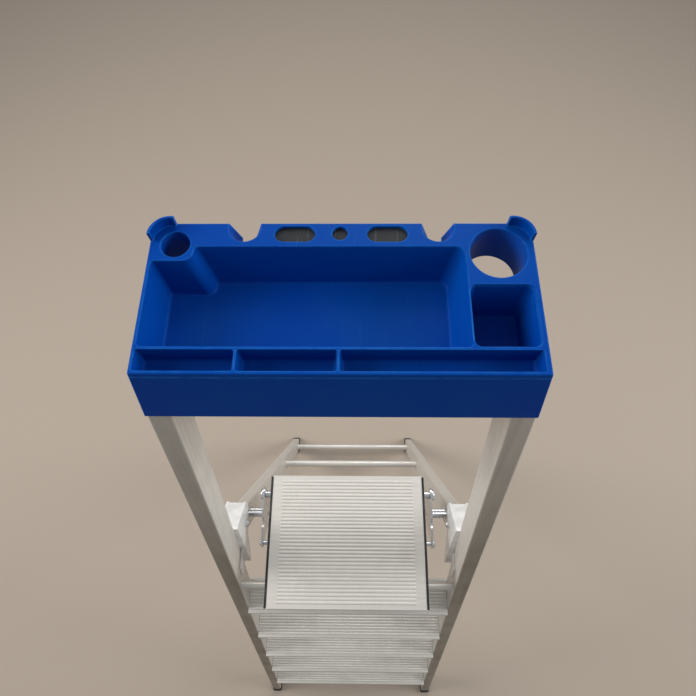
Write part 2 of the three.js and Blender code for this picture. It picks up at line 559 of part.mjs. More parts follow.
// ---- tool tray, in its own frame: y = 0 at its front top edge, z = 0 at its top face ----
const halfTray = TOP_WIDTH / 2 - TRAY_TAPER;
const trayFrontY = stileFrontY(trayTop) - TRAY_WALL - GAP;
const pocketRear = TRAY_DEPTH - 32.5;
const frontAt = (z) => z * climbSlope;
const smallHole = { x: 29.6 - halfTray, y: pocketRear + 3.3, radius: 16.9 };
const largeHole = { x: halfTray - 41.2, y: pocketRear - 8, radius: 32.3 };
const notchX = 111.5;
const notchY = TRAY_DEPTH - 6.5;

// Plan of the tray at height z, drawn in by `inset`.
function trayPlan(inset, z) {
  const x = halfTray - inset - (z * TRAY_TAPER) / TRAY_HEIGHT;
  const rear = TRAY_DEPTH - inset;
  const front = frontAt(-TRAY_HEIGHT) - 20;
  return rounded([[-x, front, 0], [x, front, 0], [x - 1.5, rear, 24 - inset], [1.5 - x, rear, 24 - inset]], 6);
}

function trayBlock(inset, z0, z1) {
  return toManifold(loft(trayPlan(inset, z0), z0, trayPlan(inset, z1), z1));
}

function trayShell() {
  const side = shapeOf([
    [0, 0], [frontAt(-TRAY_HEIGHT), -TRAY_HEIGHT], [STILE_DEPTH + 10, -TRAY_HEIGHT],
    [STILE_DEPTH + 24, -FLOOR_DEPTH - 5], [pocketRear + 2, -FLOOR_DEPTH - 5],
    [pocketRear + 6, -LEDGE_DEPTH - 4], [TRAY_DEPTH + 1, -LEDGE_DEPTH], [TRAY_DEPTH + 1, 0]]);
  const widest = TOP_WIDTH / 2 + 5;
  const shell = toManifold(alongX(side, -widest, widest)).intersect(trayBlock(0, -TRAY_HEIGHT - 5, 5));
  const lift = TRAY_WALL / Math.cos(CLIMB_LEAN);
  const inner = shapeOf([
    [frontAt(-TOP_SKIN) + lift, -TOP_SKIN], [frontAt(-TRAY_HEIGHT - 8) + lift, -TRAY_HEIGHT - 8],
    [TRAY_DEPTH + 5, -TRAY_HEIGHT - 8], [TRAY_DEPTH + 5, -TOP_SKIN]]);
  const room = toManifold(alongX(inner, -widest, widest)).intersect(trayBlock(TRAY_WALL, -TRAY_HEIGHT - 20, 5));
  return shell.subtract(room);
}

// Pocket outline at its rim and at its floor, pushed out by `grow` for the wall round it.
function mainPocket(grow) {
  const left = 4 - halfTray - grow;
  const right = halfTray - 79 + grow;
  const near = 31.5 - grow;
  const far = pocketRear + grow;
  const stepY = far - 20;
  const rim = rounded([[left, near, 4], [right, near, 4], [right, far, 11], [54 - halfTray - grow, far, 3],
    [48 - halfTray - grow, stepY, 12], [left, stepY, 3]], 4);
  const floor = rounded([[left + 6, near + 5, 5], [right - 11, near + 5, 5], [right - 11, far - 11, 9],
    [68 - halfTray - grow, far - 13, 4], [56 - halfTray - grow, stepY - 13, 14], [left + 6, stepY - 15, 4]], 4);
  return { rim, floor, depth: FLOOR_DEPTH };
}

function rightPocket(grow) {
  const left = halfTray - 77 - grow;
  const right = halfTray - 6 + grow;
  const near = 32 - grow;
  const far = pocketRear - 49.3 + grow;
  return {
    rim: rounded(rectangle(left, near, right, far, 7), 4),
    floor: rounded(rectangle(left + 3, near + 5, right - 7, far - 9, 6), 4),
    depth: FLOOR_DEPTH,
  };
}

function frontRow(grow) {
  const left = 3.5 - halfTray - grow;
  const right = halfTray - 6 + grow;
  const near = 3.8 - grow;
  const far = 28 + grow;
  return {
    rim: rounded(rectangle(left, near, right, far, 2), 2),
    floor: rounded(rectangle(left + 2, near + 1, right - 2, far - 2.5, 2), 2),
    depth: ROW_DEPTH,
  };
}

function tub(pocket) {
  return loft(pocket(2.6).floor, -pocket(0).depth - 2.6, pocket(2.6).rim, -0.5);
}

// The hollow goes on above the rim along the same draft.
function hollow(pocket) {
  const { rim, floor, depth } = pocket(0);
  const above = 2;
  const share = (depth + above) / depth;
  const raised = rim.map(([x, y], i) => [floor[i][0] + (x - floor[i][0]) * share,
    floor[i][1] + (y - floor[i][1]) * share]);
  return loft(floor, -depth, raised, above);
}

const slot = (x0, x1, y0, y1) => shapeOf(rounded(rectangle(x0, y0, x1, y1, (y1 - y0) / 2 - 0.1), 6));
const disc = ({ x, y }, radius) => shapeOf(circle(x, y, radius, 24));

// U-shaped notch in the rear edge that narrows downwards, its outline pushed out by `grow`.
function notch(x, grow, z0, z1) {
  const outline = (z) => {
    const radius = NOTCH_RADIUS + grow + (z * NOTCH_TAPER) / LEDGE_DEPTH;
    const arc = Array.from({ length: 13 }, (_, i) => {
      const angle = Math.PI + (Math.PI * i) / 12;
      return [x + radius * Math.cos(angle), notchY + radius * Math.sin(angle)];
    });
    return [...arc, [x + radius, TRAY_DEPTH + 9], [x - radius, TRAY_DEPTH + 9]];
  };
  return loft(outline(z0), z0, outline(z1), z1);
}

// Plugs under the tray's front corners go down inside the stile tubes.
function stilePlug(side) {
  const inset = STILE_WALL + FIT;
  const y0 = stileFrontY(trayTop) - trayFrontY;
  const shape = shapeOf(rectangle(inset - STILE_WIDTH / 2, inset, STILE_WIDTH / 2 - inset, STILE_DEPTH - inset));
  const x = side * (stileOuterX(trayTop) - STILE_WIDTH / 2);
  const plug = leaning(shape, -TRAY_HEIGHT - 45, 1 - TRAY_HEIGHT, -side * flareSlope, climbSlope);
  return plug.translate(x, y0, 0);
}

function cornerFloor(side) {
  const x1 = TOP_WIDTH / 2 - 1;
  const x0 = x1 - STILE_WIDTH - 5;
  return box(side > 0 ? x0 : -x1, frontAt(-TRAY_HEIGHT) + 1, -TRAY_HEIGHT,
    side > 0 ? x1 : -x0, STILE_DEPTH - 4, -TRAY_HEIGHT + 4);
}

function tray() {
  const notches = [-notchX, notchX];
  let solid = trayShell();
  const extras = [
    tub(mainPocket), tub(rightPocket), tub(frontRow),
    alongZ(disc(smallHole, smallHole.radius + 2.6), -TUBE_DEPTH, -0.5),
    alongZ(disc(largeHole, largeHole.radius + 2.6), -TUBE_DEPTH, -0.5),
    stilePlug(-1), stilePlug(1), cornerFloor(-1), cornerFloor(1),
  ];
  solid = solid.add(join(extras));
  const sleeves = join(notches.map((x) => notch(x, 3, -LEDGE_DEPTH, -0.5)));
  solid = solid.add(sleeves.intersect(trayBlock(0, -TRAY_HEIGHT - 5, 5)));

  // Raised lips round the rear corners.
  const ring = toManifold(alongZ(shapeOf(trayPlan(0, 0)), -1, 15))
    .subtract(toManifold(alongZ(shapeOf(trayPlan(3.5, 0)), -5, 20)));
  const corner = (side) => box(side > 0 ? halfTray - 25 : -halfTray - 5, TRAY_DEPTH - 27, -2,
    side > 0 ? halfTray + 5 : 25 - halfTray, TRAY_DEPTH + 5, 16);
  solid = solid.add(ring.intersect(join([corner(-1), corner(1)])));

  const row = frontRow(0);
  const dividers = join([1, 110].map((gap) => {
    const x = -gap;
    return box(x - 1.4, 2, -ROW_DEPTH - 1, x + 1.4, 30, -1.2);
  }));
  const rowHollow = toManifold(hollow(() => row)).subtract(dividers);
  const cuts = join([
    hollow(mainPocket), hollow(rightPocket),
    alongZ(disc(smallHole, smallHole.radius), -TUBE_DEPTH - 5, 5),
    alongZ(disc(largeHole, largeHole.radius), -TUBE_DEPTH - 5, 5),
    ...notches.map((x) => notch(x, 0, -LEDGE_DEPTH - 4, 4)),
    alongZ(slot(-77, -30, pocketRear + 7, TRAY_DEPTH - 4.5), -12, 5),
    alongZ(slot(30, 77, pocketRear + 7, TRAY_DEPTH - 4.5), -12, 5),
    alongZ(disc({ x: -1.3, y: pocketRear + 18.4 }, 9.1), -12, 5),
  ]);
  return solid.subtract(cuts).subtract(rowHollow);
}

const trayGroup = new THREE.Group();
trayGroup.position.set(0, trayFrontY, trayTop);
ladder.add(trayGroup);

function addToTray(name, geometry, look) {
  const mesh = new THREE.Mesh(geometry, new THREE.MeshStandardMaterial(look));
  mesh.name = name;
  trayGroup.add(mesh);
}

// Dark strip that closes the slots from below.
const stripTop = -TOP_SKIN - 0.8;
addToTray('slot_backing_strip', carve([box(-88, pocketRear + 6, stripTop - 3, 88, TRAY_DEPTH - TRAY_WALL - 0.6,
  stripTop)], []), BLACK_PLASTIC);
addToTray('tool_tray', toGeometry(tray()), BLUE_PLASTIC);

export default ladder;
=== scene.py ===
"""Looks of a folding aluminium platform step ladder with a moulded blue tool tray."""
import json
import math

import bmesh
import bpy
from mathutils import Matrix, Vector


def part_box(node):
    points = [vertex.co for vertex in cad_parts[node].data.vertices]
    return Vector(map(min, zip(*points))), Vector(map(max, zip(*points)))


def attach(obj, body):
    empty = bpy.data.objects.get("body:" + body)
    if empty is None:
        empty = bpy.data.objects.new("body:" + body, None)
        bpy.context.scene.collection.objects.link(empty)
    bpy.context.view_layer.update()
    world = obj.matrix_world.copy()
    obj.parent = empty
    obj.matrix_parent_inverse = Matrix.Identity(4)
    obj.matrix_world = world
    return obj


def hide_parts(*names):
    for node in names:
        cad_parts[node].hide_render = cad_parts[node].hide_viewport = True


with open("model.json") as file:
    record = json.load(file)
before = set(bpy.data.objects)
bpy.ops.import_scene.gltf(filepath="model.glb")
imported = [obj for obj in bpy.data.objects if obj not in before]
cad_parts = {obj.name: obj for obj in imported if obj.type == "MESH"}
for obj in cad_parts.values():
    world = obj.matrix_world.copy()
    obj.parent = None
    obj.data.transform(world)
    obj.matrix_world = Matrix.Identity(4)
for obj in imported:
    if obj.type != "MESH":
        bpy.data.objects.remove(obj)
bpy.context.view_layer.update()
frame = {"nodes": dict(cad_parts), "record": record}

MM = 0.001
SIDES = (("left", -1), ("right", 1))
CLIMB_LEAN = math.radians(16)
CLIMB_FLARE = math.radians(2.4)
SUPPORT_LEAN = math.radians(20)

# ---- the tray's own frame: x from the middle, y from its front top edge, z from its top face ----
TRAY_LOW, TRAY_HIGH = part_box("tool_tray")
EAR_HEIGHT = 15
TRAY_DEPTH = 188.5
TRAY_HEIGHT = 79
TRAY_TAPER = 5.5
HALF_TRAY = 220
TRAY_ORIGIN = Vector((0, TRAY_HIGH.y - TRAY_DEPTH * MM, TRAY_HIGH.z - EAR_HEIGHT * MM))


def tray_point(x, y, z=0.0):
    return TRAY_ORIGIN + Vector((x, y, z)) * MM


# ================= modelling by hand =================
def select_only(piece):
    if bpy.context.object and bpy.context.object.mode != "OBJECT":
        bpy.ops.object.mode_set(mode="OBJECT")
    bpy.ops.object.select_all(action="DESELECT")
    piece.select_set(True)
    bpy.context.view_layer.objects.active = piece


def edit(piece):
    select_only(piece)
    bpy.ops.object.mode_set(mode="EDIT")
    bpy.ops.mesh.select_all(action="SELECT")


def leave_edit():
    bpy.ops.object.mode_set(mode="OBJECT")


def named(name):
    """The primitive that was just added, with its place put into its mesh, ready in edit mode."""
    piece = bpy.context.object
    piece.name = name
    bpy.ops.object.transform_apply(location=True, rotation=True, scale=True)
    edit(piece)
    return piece


def start_block(name, low, high):
    low, high = Vector(low), Vector(high)
    bpy.ops.object.select_all(action="DESELECT")
    bpy.ops.mesh.primitive_cube_add(size=1, location=(low + high) / 2)
    bpy.context.object.scale = high - low
    return named(name)


def start_plate(name, low, high, corner_radius=0.0, segments=5):
    """Flat level plate between two corners at one height, its corners rounded."""
    low, high = Vector(low), Vector(high)
    bpy.ops.object.select_all(action="DESELECT")
    bpy.ops.mesh.primitive_plane_add(size=1, location=(low + high) / 2)
    bpy.context.object.scale = (high.x - low.x, high.y - low.y, 1)
    piece = named(name)
    if corner_radius:
        bpy.ops.mesh.bevel(offset=corner_radius, segments=segments, affect="VERTICES")
        bpy.ops.mesh.select_all(action="SELECT")
    return piece


def start_disc(name, centre, radius, vertices=48):
    bpy.ops.object.select_all(action="DESELECT")
    bpy.ops.mesh.primitive_circle_add(vertices=vertices, radius=radius, fill_type="NGON", location=centre)
    return named(name)


def pick(test, kind="VERT"):
    """Selects the vertices, edges or faces whose middle passes the test."""
    bpy.ops.mesh.select_mode(type=kind)
    bpy.ops.mesh.select_all(action="DESELECT")
    mesh = bmesh.from_edit_mesh(bpy.context.object.data)
    if kind == "VERT":
        for v in mesh.verts:
            v.select = test(v.co)
    elif kind == "EDGE":
        for e in mesh.edges:
            e.select = all(test(v.co) for v in e.verts)
    else:
        for f in mesh.faces:
            f.select = test(f.calc_center_median())
    mesh.select_flush_mode()
    bmesh.update_edit_mesh(bpy.context.object.data)


def picked_size():
    mesh = bmesh.from_edit_mesh(bpy.context.object.data)
    spots = [v.co.copy() for v in mesh.verts if v.select]
    low = Vector([min(p[i] for p in spots) for i in range(3)])
    high = Vector([max(p[i] for p in spots) for i in range(3)])
    return low, high


def drop(depth, inset_x=0.0, inset_y=None, shift=(0.0, 0.0)):
    """Extrudes the selected level face down by depth and draws its outline in."""
    inset_y = inset_x if inset_y is None else inset_y
    bpy.ops.mesh.extrude_region_move(
        TRANSFORM_OT_translate={"value": (shift[0], shift[1], -depth)})
    if inset_x or inset_y:
        low, high = picked_size()
        size = high - low
        bpy.ops.transform.resize(
            value=((size.x - 2 * inset_x) / size.x, (size.y - 2 * inset_y) / size.y, 1),
            center_override=(low + high) / 2)


def finish_solid(piece):
    bpy.ops.mesh.select_all(action="SELECT")
    bpy.ops.mesh.remove_doubles(threshold=1e-6)
    bpy.ops.mesh.normals_make_consistent(inside=False)
    leave_edit()
    return piece


def combine(piece, tool, operation):
    select_only(piece)
    change = piece.modifiers.new("combine", "BOOLEAN")
    change.operation = operation
    change.solver = "EXACT"
    change.object = tool
    bpy.ops.object.modifier_apply(modifier=change.name)
    bpy.data.objects.remove(tool)


def cut(piece, tool):
    combine(piece, tool, "DIFFERENCE")


def join(piece, tool):
    combine(piece, tool, "UNION")


def round_edges(piece, width, segments=2, angle=30):
    select_only(piece)
    edge = piece.modifiers.new("edges", "BEVEL")
    edge.limit_method = "ANGLE"
    edge.angle_limit = math.radians(angle)
    edge.width = width
    edge.segments = segments
    bpy.ops.object.modifier_apply(modifier=edge.name)


def smooth(piece, angle=40):
    select_only(piece)
    bpy.ops.object.shade_smooth_by_angle(angle=math.radians(angle))
    flat = piece.modifiers.new("flat faces", "WEIGHTED_NORMAL")
    flat.keep_sharp = True
    bpy.ops.object.modifier_apply(modifier=flat.name)


def finer_copy(node, width, segments=2, angle=30):
    """Copy of a frame node with merged corners and rounded edges."""
    piece = frame["nodes"][node].copy()
    piece.data = piece.data.copy()
    piece.parent = None
    for key in list(piece.keys()):
        del piece[key]
    piece.name = f"{node}_piece"
    bpy.context.scene.collection.objects.link(piece)
    edit(piece)
    bpy.ops.mesh.remove_doubles(threshold=1e-5)
    bpy.ops.mesh.dissolve_limited(angle_limit=math.radians(1))
    leave_edit()
    round_edges(piece, width, segments, angle)
    smooth(piece)
    return piece


def dress(piece, material, body, *nodes, slot=None):
    """Puts a finish on a piece, and sets it on its body in place of the frame's own nodes."""
    piece.data.materials.clear()
    piece.data.materials.append(material)
    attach(piece, body)
    if nodes:
        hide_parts(*nodes)


# ================= shared effects =================
def new_group(name, inputs, outputs):
    group = bpy.data.node_groups.new(name, "ShaderNodeTree")
    for label, kind, default in inputs:
        socket = group.interface.new_socket(name=label, in_out="INPUT", socket_type=kind)
        if default is not None:
            socket.default_value = default
    for label, kind in outputs:
        group.interface.new_socket(name=label, in_out="OUTPUT", socket_type=kind)
    entry = group.nodes.new("NodeGroupInput")
    result = group.nodes.new("NodeGroupOutput")
    return group, entry, result


def add_node(tree, kind, settings=None, **values):
    """New node; settings are its own properties, values its inputs by name."""
    node = tree.nodes.new(kind)
    for key, value in (settings or {}).items():
        setattr(node, key, value)
    for key, value in values.items():
        node.inputs[key.replace("_", " ")].default_value = value
    return node


def maths(tree, operation, first, second=None, clamp=False):
    node = tree.nodes.new("ShaderNodeMath")
    node.operation = operation
    node.use_clamp = clamp
    for socket, value in zip(node.inputs, (first, second)):
        if isinstance(value, (int, float)):
            socket.default_value = value
        elif value is not None:
            tree.links.new(value, socket)
    return node.outputs[0]


def spread(tree, value, low, high, to_low=0.0, to_high=1.0):
    node = tree.nodes.new("ShaderNodeMapRange")
    tree.links.new(value, node.inputs["Value"])
    for label, number in (("From Min", low), ("From Max", high), ("To Min", to_low), ("To Max", to_high)):
        node.inputs[label].default_value = number
    return node.outputs["Result"]


def stretched_noise(tree, vector, scale, turn, noise_scale=1.0, detail=2.0):
    place = tree.nodes.new("ShaderNodeMapping")
    place.inputs["Scale"].default_value = scale
    place.inputs["Rotation"].default_value = turn
    tree.links.new(vector, place.inputs["Vector"])
    noise = add_node(tree, "ShaderNodeTexNoise", Scale=noise_scale, Detail=detail)
    tree.links.new(place.outputs[0], noise.inputs["Vector"])
    return noise.outputs["Fac"]


def make_drawn_lines():
    """Fine lines along local Z: the die marks of an extrusion."""
    group, entry, result = new_group(
        "drawn_lines", [("Vector", "NodeSocketVector", None)],
        [("Lines", "NodeSocketFloat"), ("Streaks", "NodeSocketFloat")])
    fine = stretched_noise(group, entry.outputs["Vector"], (1400, 1400, 4), (0, 0, 0), detail=3.0)
    broad = stretched_noise(group, entry.outputs["Vector"], (140, 140, 1.2), (0, 0, 0), detail=2.0)
    group.links.new(spread(group, fine, 0.3, 0.7), result.inputs["Lines"])
    group.links.new(spread(group, broad, 0.35, 0.65), result.inputs["Streaks"])
    return group


def make_scuffs():
    """Sparse hairline scratches in three directions, and soft worn patches."""
    group, entry, result = new_group(
        "scuffs", [("Vector", "NodeSocketVector", None), ("Amount", "NodeSocketFloat", 0.5)],
        [("Scratches", "NodeSocketFloat"), ("Patches", "NodeSocketFloat")])
    total = None
    for turn in (0.35, 1.35, 2.3):
        line = stretched_noise(group, entry.outputs["Vector"], (520, 11, 60), (0, 0, turn), detail=1.0)
        line = spread(group, line, 0.70, 0.76)
        total = line if total is None else maths(group, "MAXIMUM", total, line)
    patches = stretched_noise(group, entry.outputs["Vector"], (14, 14, 14), (0, 0, 0), detail=4.0)
    patches = spread(group, patches, 0.42, 0.66)
    scratches = maths(group, "MULTIPLY", maths(group, "MULTIPLY", total, patches), entry.outputs["Amount"])
    group.links.new(scratches, result.inputs["Scratches"])
    group.links.new(patches, result.inputs["Patches"])
    return group


def make_edge_wear_and_highlight():
    """Mask of edges, broken up by noise, for rubbed wear and for painted highlights, and of hollows."""
    group, entry, result = new_group(
        "edge_wear_and_highlight", [("Vector", "NodeSocketVector", None), ("Width", "NodeSocketFloat", 0.0015)],
        [("Edges", "NodeSocketFloat"), ("Hollows", "NodeSocketFloat")])
    shape = group.nodes.new("ShaderNodeNewGeometry")
    rounded = group.nodes.new("ShaderNodeBevel")
    rounded.samples = 4
    group.links.new(entry.outputs["Width"], rounded.inputs["Radius"])
    turned = group.nodes.new("ShaderNodeVectorMath")
    turned.operation = "DOT_PRODUCT"
    group.links.new(shape.outputs["Normal"], turned.inputs[0])
    group.links.new(rounded.outputs["Normal"], turned.inputs[1])
    breakup = stretched_noise(group, entry.outputs["Vector"], (90, 90, 90), (0, 0, 0), detail=3.0)
    edges = maths(group, "MULTIPLY", spread(group, turned.outputs["Value"], 0.985, 0.86),
                  spread(group, breakup, 0.3, 0.55, 0.35, 1.0))
    group.links.new(edges, result.inputs["Edges"])
    group.links.new(spread(group, shape.outputs["Pointiness"], 0.46, 0.38), result.inputs["Hollows"])
    return group


def make_dust():
    """Dust that settles on faces that look up."""
    group, entry, result = new_group(
        "dust", [("Vector", "NodeSocketVector", None), ("Amount", "NodeSocketFloat", 0.3)],
        [("Dust", "NodeSocketFloat")])
    shape = group.nodes.new("ShaderNodeNewGeometry")
    split = group.nodes.new("ShaderNodeSeparateXYZ")
    group.links.new(shape.outputs["Normal"], split.inputs[0])
    up = spread(group, split.outputs["Z"], 0.4, 1.0)
    clouds = stretched_noise(group, entry.outputs["Vector"], (22, 22, 22), (0, 0, 0), detail=5.0)
    specks = stretched_noise(group, entry.outputs["Vector"], (700, 700, 700), (0, 0, 0), detail=1.0)
    soft = spread(group, clouds, 0.38, 0.72)
    grains = spread(group, specks, 0.66, 0.74)
    both = maths(group, "ADD", maths(group, "MULTIPLY", soft, 0.6), maths(group, "MULTIPLY", grains, 0.7))
    settled = maths(group, "MULTIPLY", both, up)
    settled = maths(group, "MULTIPLY", settled, entry.outputs["Amount"], True)
    group.links.new(settled, result.inputs["Dust"])
    return group


def make_painted_front_shade():
    """Mask of painted shade on the faces turned to the climber, growing down the length of a stile from
    local Z 1.9 m.
    """
    group, entry, result = new_group(
        "painted_front_shade", [("Vector", "NodeSocketVector", None)], [("PaintedShade", "NodeSocketFloat")])
    shape = group.nodes.new("ShaderNodeNewGeometry")
    facing = group.nodes.new("ShaderNodeSeparateXYZ")
    group.links.new(shape.outputs["Normal"], facing.inputs[0])
    front = spread(group, facing.outputs["Y"], -0.55, -0.9)
    place = group.nodes.new("ShaderNodeSeparateXYZ")
    group.links.new(entry.outputs["Vector"], place.inputs[0])
    down = spread(group, place.outputs["Z"], 1.95, 1.35, 0.25, 1.0)
    cloud = stretched_noise(group, entry.outputs["Vector"], (30, 30, 3), (0, 0, 0), detail=4.0)
    total = maths(group, "MULTIPLY", front, down)
    total = maths(group, "MULTIPLY", total, spread(group, cloud, 0.2, 0.6, 0.75, 1.0))
    group.links.new(total, result.inputs["PaintedShade"])
    return group


EFFECTS = {
    "painted_front_shade": make_painted_front_shade(),
    "drawn_lines": make_drawn_lines(),
    "scuffs": make_scuffs(),
    "edge_wear_and_highlight": make_edge_wear_and_highlight(),
    "dust": make_dust(),
}


# ================= materials =================
class Finish:
    """A material with its Principled BSDF, and short ways to wire effects into it."""

    def __init__(self, name, colour, roughness, metallic=0.0, turn=(0, 0, 0), **extra):
        self.material = bpy.data.materials.new(name)
        self.material.use_nodes = True
        self.tree = self.material.node_tree
        self.shader = self.tree.nodes["Principled BSDF"]
        self.shader.inputs["Metallic"].default_value = metallic
        for label, value in extra.items():
            self.shader.inputs[label.replace("_", " ")].default_value = value
        place = self.tree.nodes.new("ShaderNodeTexCoord")
        mapping = self.tree.nodes.new("ShaderNodeMapping")
        mapping.inputs["Rotation"].default_value = turn
        self.tree.links.new(place.outputs["Object"], mapping.inputs["Vector"])
        self.vector = mapping.outputs["Vector"]
        start = self.tree.nodes.new("ShaderNodeRGB")
        start.outputs[0].default_value = (*colour, 1)
        self.colour = start.outputs[0]
        self.roughness = None
        self.base_roughness = roughness
        self.heights = []

    def effect(self, name, **values):
        node = self.tree.nodes.new("ShaderNodeGroup")
        node.node_tree = EFFECTS[name]
        self.tree.links.new(self.vector, node.inputs["Vector"])
        for label, value in values.items():
            node.inputs[label].default_value = value
        return node.outputs

    def tint(self, mask, colour, strength=1.0):
        """Mixes a colour in where the mask is high."""
        mix = self.tree.nodes.new("ShaderNodeMix")
        mix.data_type = "RGBA"
        self.tree.links.new(maths(self.tree, "MULTIPLY", mask, strength, True), mix.inputs["Factor"])
        self.tree.links.new(self.colour, mix.inputs["A"])
        mix.inputs["B"].default_value = (*colour, 1)
        self.colour = mix.outputs["Result"]

    def roughen(self, mask, amount):
        base = self.base_roughness if self.roughness is None else self.roughness
        self.roughness = maths(self.tree, "ADD", base, maths(self.tree, "MULTIPLY", mask, amount), True)

    def raise_by(self, mask, strength, distance):
        bump = self.tree.nodes.new("ShaderNodeBump")
        bump.inputs["Strength"].default_value = strength
        bump.inputs["Distance"].default_value = distance
        self.tree.links.new(mask, bump.inputs["Height"])
        if self.heights:
            self.tree.links.new(self.heights[-1], bump.inputs["Normal"])
        self.heights.append(bump.outputs["Normal"])

    def noise(self, scale, detail=2.0):
        return stretched_noise(self.tree, self.vector, (scale, scale, scale), (0, 0, 0), detail=detail)

    def done(self):
        self.tree.links.new(self.colour, self.shader.inputs["Base Color"])
        if self.roughness is None:
            self.shader.inputs["Roughness"].default_value = self.base_roughness
        else:
            self.tree.links.new(self.roughness, self.shader.inputs["Roughness"])
        if self.heights:
            self.tree.links.new(self.heights[-1], self.shader.inputs["Normal"])
        return self.material


def tray_plastic():
    """Moulded blue plastic: slight mould mottle, painted highlights along the rims and edges, hairline
    scratches and a little dust.
    """
    finish = Finish("tray_blue_plastic", (0.0003, 0.044, 0.300), 0.36, IOR=1.46, Specular_IOR_Level=0.05)
    mottle = finish.noise(7, 3.0)
    finish.tint(spread(finish.tree, mottle, 0.35, 0.7), (0.0005, 0.066, 0.30), 0.45)
    edge_masks = finish.effect("edge_wear_and_highlight", Width=0.003)
    # painted highlight: a lighter blue along the tray's rims, edges and inner corners
    finish.tint(edge_masks["Edges"], (0.02, 0.19, 0.56), 0.7)
    scuffs = finish.effect("scuffs", Amount=0.8)
    finish.tint(scuffs["Scratches"], (0.03, 0.14, 0.34), 0.3)
    dust = finish.effect("dust", Amount=0.008)
    finish.tint(dust["Dust"], (0.30, 0.31, 0.30), 1.0)
    finish.roughen(scuffs["Patches"], 0.10)
    finish.roughen(scuffs["Scratches"], 0.2)
    finish.raise_by(finish.noise(1500, 2.0), 0.05, 0.0002)
    finish.raise_by(scuffs["Scratches"], 0.12, 0.0002)
    return finish.done()


def aluminium(name, colour, roughness, turn, lines=0.25, grime=0.25, front_shade=False):
    """Mill-finish extrusion: die lines along its length, oxide streaks, scuffs and grime, edges lighter
    from wear and a painted highlight, and, with front_shade, painted shade darkening the front faces down
    the stile.
    """
    finish = Finish(name, colour, roughness, 0.55, turn)
    drawn = finish.effect("drawn_lines")
    finish.tint(drawn["Streaks"], tuple(c * 0.82 for c in colour), 0.5)
    finish.roughen(drawn["Lines"], 0.10)
    finish.roughen(drawn["Streaks"], 0.05)
    scuffs = finish.effect("scuffs", Amount=0.8)
    finish.tint(scuffs["Scratches"], (0.85, 0.84, 0.82), 0.5)
    finish.tint(scuffs["Patches"], tuple(c * 0.72 for c in colour), grime)
    finish.roughen(scuffs["Patches"], 0.14)
    edge_masks = finish.effect("edge_wear_and_highlight", Width=0.0018)
    # lighter edges: partly rubbed wear, partly a painted highlight along the rounded edges
    finish.tint(edge_masks["Edges"], (0.9, 0.89, 0.87), 0.6)
    finish.tint(edge_masks["Hollows"], (0.16, 0.15, 0.13), 0.5)
    dust = finish.effect("dust", Amount=0.25)
    finish.tint(dust["Dust"], (0.42, 0.40, 0.36), 1.0)
    finish.roughen(dust["Dust"], 0.4)
    # painted shade: the faces turned to the climber darken down the stile
    if front_shade:
        finish.tint(finish.effect("painted_front_shade")["PaintedShade"], (0.17, 0.145, 0.10), 0.8)
    finish.raise_by(drawn["Lines"], lines, 0.0001)
    return finish.done()


def cast_aluminium():
    """Tumbled die casting: fine pebbled skin with bright rubbed edges."""
    finish = Finish("cast_aluminium", (0.95, 0.94, 0.93), 0.30, 0.35)
    skin = finish.noise(420, 4.0)
    finish.roughen(spread(finish.tree, skin, 0.3, 0.7), 0.16)
    finish.tint(spread(finish.tree, finish.noise(40, 3.0), 0.4, 0.7), (0.62, 0.61, 0.59), 0.5)
    edge_masks = finish.effect("edge_wear_and_highlight", Width=0.0014)
    finish.tint(edge_masks["Edges"], (0.95, 0.94, 0.92), 0.8)
    finish.tint(edge_masks["Hollows"], (0.2, 0.19, 0.17), 0.6)
    finish.raise_by(skin, 0.12, 0.0004)
    return finish.done()


def zinc_steel():
    """Bright zinc plate with cloudy spangle and darker hollows."""
    finish = Finish("zinc_steel", (0.74, 0.75, 0.76), 0.22, 1.0)
    cloud = finish.noise(160, 3.0)
    finish.tint(spread(finish.tree, cloud, 0.35, 0.7), (0.55, 0.56, 0.58), 0.6)
    finish.roughen(spread(finish.tree, cloud, 0.35, 0.7), 0.18)
    edge_masks = finish.effect("edge_wear_and_highlight", Width=0.0014)
    finish.tint(edge_masks["Hollows"], (0.12, 0.11, 0.10), 0.8)
    scuffs = finish.effect("scuffs", Amount=1.0)
    finish.roughen(scuffs["Scratches"], 0.3)
    finish.raise_by(finish.noise(900, 2.0), 0.05, 0.0002)
    return finish.done()


def dark_plastic(name, colour, roughness, grain, dusty=0.3):
    """Moulded dark plastic or rubber with a grained skin and pale scuffs."""
    finish = Finish(name, colour, roughness, Specular_IOR_Level=0.35)
    skin = finish.noise(grain, 3.0)
    finish.tint(spread(finish.tree, finish.noise(30, 4.0), 0.4, 0.7), tuple(c * 1.8 for c in colour), 0.6)
    scuffs = finish.effect("scuffs", Amount=0.8)
    finish.tint(scuffs["Scratches"], (0.2, 0.2, 0.19), 0.5)
    dust = finish.effect("dust", Amount=dusty)
    finish.tint(dust["Dust"], (0.25, 0.24, 0.22), 1.0)
    finish.roughen(spread(finish.tree, skin, 0.3, 0.7), 0.12)
    finish.raise_by(skin, 0.25, 0.0004)
    return finish.done()


